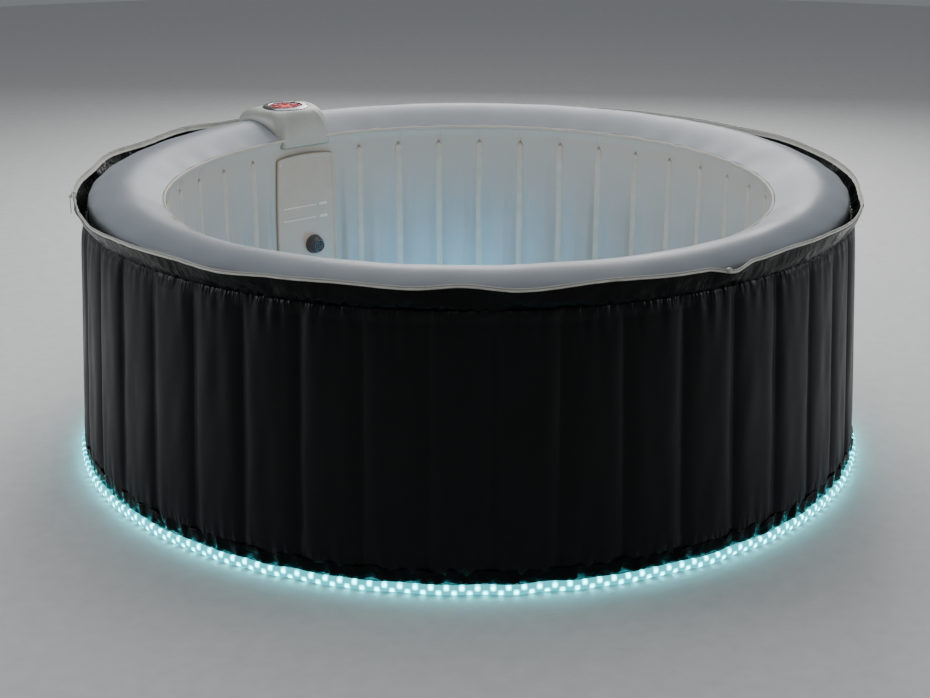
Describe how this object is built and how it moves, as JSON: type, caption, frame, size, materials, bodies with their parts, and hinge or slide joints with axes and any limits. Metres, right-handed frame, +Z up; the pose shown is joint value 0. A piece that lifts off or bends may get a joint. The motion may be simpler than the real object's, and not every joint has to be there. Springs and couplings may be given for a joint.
{
  "type": "inflatable hot tub",
  "caption": "Round inflatable hot tub with a grey padded rim, a quilted black jacket, a zip collar, a light tape at the foot and a built-in control unit on the rim.",
  "frame": {"origin": "on the ground under the centre of the tub", "axes": "+Z up, +Y from the centre towards the control unit"},
  "size_m": [2.0538, 2.0593, 0.734],
  "materials": {
    "black_plastic": "textured black plastic",
    "black_vinyl": "glossy black vinyl",
    "board_green": "green circuit board",
    "button_red": "glossy red with a pale plain symbol",
    "cap_grey": "moulded grey plastic",
    "casing_grey": "moulded grey plastic",
    "chrome_ring": "bright chrome plating",
    "clear_sleeve": "clear soft plastic tube",
    "clip_plastic": "moulded grey plastic",
    "cover_grey": "satin warm grey plastic",
    "dark_metal": "black painted can",
    "dark_plastic": "moulded dark grey plastic",
    "display_red": "lit red window",
    "emitter": "lit cyan lens",
    "filter_paper": "pleated white polyester",
    "foam_floor": "foam pad in a PVC skin",
    "leatherette": "satin black leatherette",
    "mark_white": "printed pale bars",
    "nozzle_dark": "satin dark plastic",
    "pad_red": "glossy dark red",
    "panel_beige": "fine matt beige plastic",
    "pipe_grey": "grey PVC tube",
    "puller_white": "glossy white",
    "pvc_grey": "satin flexible PVC",
    "pvc_rim": "satin flexible PVC, light grey",
    "pvc_wall": "satin flexible PVC, cool grey",
    "steel": "stainless steel",
    "tape_white": "white flexible circuit",
    "weld_tape": "matt beige PVC tape",
    "white_plastic": "moulded white plastic",
    "zip_metal": "enamelled light grey",
    "zip_plastic": "moulded nylon",
    "zip_textile": "woven light grey tape"
  },
  "bodies": {
    "tub": {"outer_wall": "pvc_grey", "inner_wall": "pvc_wall", "top_rim": "pvc_rim", "base_sheet": "pvc_grey", "floor_pad": "foam_floor", "tension_webs": "pvc_grey", "pocket_liner": "pvc_grey", "weld_strips": "weld_tape", "rim_bead": "weld_tape", "bubble_channel": "pvc_wall", "jacket": "leatherette", "jacket_hem": "leatherette", "collar": "black_vinyl", "zip_tape": "zip_textile", "zip_coil": "zip_plastic", "zip_end_box": "zip_plastic", "light_sleeve": "clear_sleeve", "light_tape": "tape_white", "light_emitters": "emitter", "sleeve_clips": "clip_plastic", "light_connector": "black_plastic", "inner_panel": "panel_beige", "water_marks": "mark_white", "control_casing": "casing_grey", "rear_door": "black_plastic", "neck_duct": "casing_grey", "control_cover": "cover_grey", "bezel_ring": "chrome_ring", "pad_plate": "pad_red", "display_window": "display_red", "keypad_board": "board_green", "control_board": "board_green", "pump_housing": "dark_plastic", "pump_motor": "dark_metal", "heater_tube": "steel", "blower_housing": "dark_plastic", "suction_pipe": "pipe_grey", "pressure_pipe": "pipe_grey", "return_pipe": "pipe_grey", "air_pipe": "pipe_grey", "filter_mount": "panel_beige", "cover_screws": "steel", "cable_gland": "black_plastic", "valve_body": "dark_plastic", "drain_tube": "dark_plastic"},
    "slider": {"zip_slider": "zip_metal"},
    "puller": {"zip_puller": "puller_white"},
    "pump_rotor": {"pump_impeller": "white_plastic"},
    "blower_rotor": {"blower_fan": "white_plastic"},
    "nozzle": {"return_nozzle": "nozzle_dark"},
    "filter": {"filter_cage": "white_plastic", "filter_cartridge": "filter_paper"},
    "air_valve_cap": {"valve_cap": "cap_grey"},
    "drain_plug": {"drain_cap": "black_plastic"},
    "button_bubbles_cap": {"button_bubbles": "button_red"},
    "button_heater_cap": {"button_heater": "button_red"},
    "button_filter_cap": {"button_filter": "button_red"},
    "button_power_cap": {"button_power": "button_red"},
    "button_up_cap": {"button_up": "button_red"},
    "button_down_cap": {"button_down": "button_red"}
  },
  "joints": [
    {"name": "slider_ride", "type": "hinge", "parent": "tub", "child": "slider", "pos_m": [0, 0, 0.6878], "axis": [0, 0, 1], "range_deg": [-244, 106]},
    {"name": "puller_swing", "type": "hinge", "parent": "slider", "child": "puller", "pos_m": [-0.90687, 0.44231, 0.6818], "axis": [0.4384, 0.8988, 0], "range_deg": [-7, 165]},
    {"name": "pump_spin", "type": "hinge", "parent": "tub", "child": "pump_rotor", "pos_m": [0, 0.85437, 0.156], "axis": [0, 1, 0], "continuous": true},
    {"name": "blower_spin", "type": "hinge", "parent": "tub", "child": "blower_rotor", "pos_m": [0, 0.85437, 0.492], "axis": [0, 1, 0], "continuous": true},
    {"name": "nozzle_turn", "type": "hinge", "parent": "tub", "child": "nozzle", "pos_m": [0.02, 0.77987, 0.326], "axis": [0, -1, 0], "range_deg": [-90, 90]},
    {"name": "filter_pull", "type": "slide", "parent": "tub", "child": "filter", "axis": [0, -1, 0], "range_m": [0, 0.13]},
    {"name": "valve_cap_turn", "type": "hinge", "parent": "tub", "child": "air_valve_cap", "pos_m": [0.46057, 0.90393, 0.14], "axis": [0.454, 0.891, 0], "range_deg": [0, 180]},
    {"name": "drain_cap_turn", "type": "hinge", "parent": "tub", "child": "drain_plug", "pos_m": [-0.46249, 0.90769, 0.066], "axis": [-0.454, 0.891, 0], "range_deg": [0, 180]},
    {"name": "bubbles_press", "type": "slide", "parent": "tub", "child": "button_bubbles_cap", "axis": [0, 0, -1], "range_m": [0, 0.0012], "stiffness_N_per_m": 600, "springref_m": -0.001},
    {"name": "heater_press", "type": "slide", "parent": "tub", "child": "button_heater_cap", "axis": [0, 0, -1], "range_m": [0, 0.0012], "stiffness_N_per_m": 600, "springref_m": -0.001},
    {"name": "filter_press", "type": "slide", "parent": "tub", "child": "button_filter_cap", "axis": [0, 0, -1], "range_m": [0, 0.0012], "stiffness_N_per_m": 600, "springref_m": -0.001},
    {"name": "power_press", "type": "slide", "parent": "tub", "child": "button_power_cap", "axis": [0, 0, -1], "range_m": [0, 0.0012], "stiffness_N_per_m": 600, "springref_m": -0.001},
    {"name": "up_press", "type": "slide", "parent": "tub", "child": "button_up_cap", "axis": [0, 0, -1], "range_m": [0, 0.0012], "stiffness_N_per_m": 600, "springref_m": -0.001},
    {"name": "down_press", "type": "slide", "parent": "tub", "child": "button_down_cap", "axis": [0, 0, -1], "range_m": [0, 0.0012], "stiffness_N_per_m": 600, "springref_m": -0.001}
  ]
}
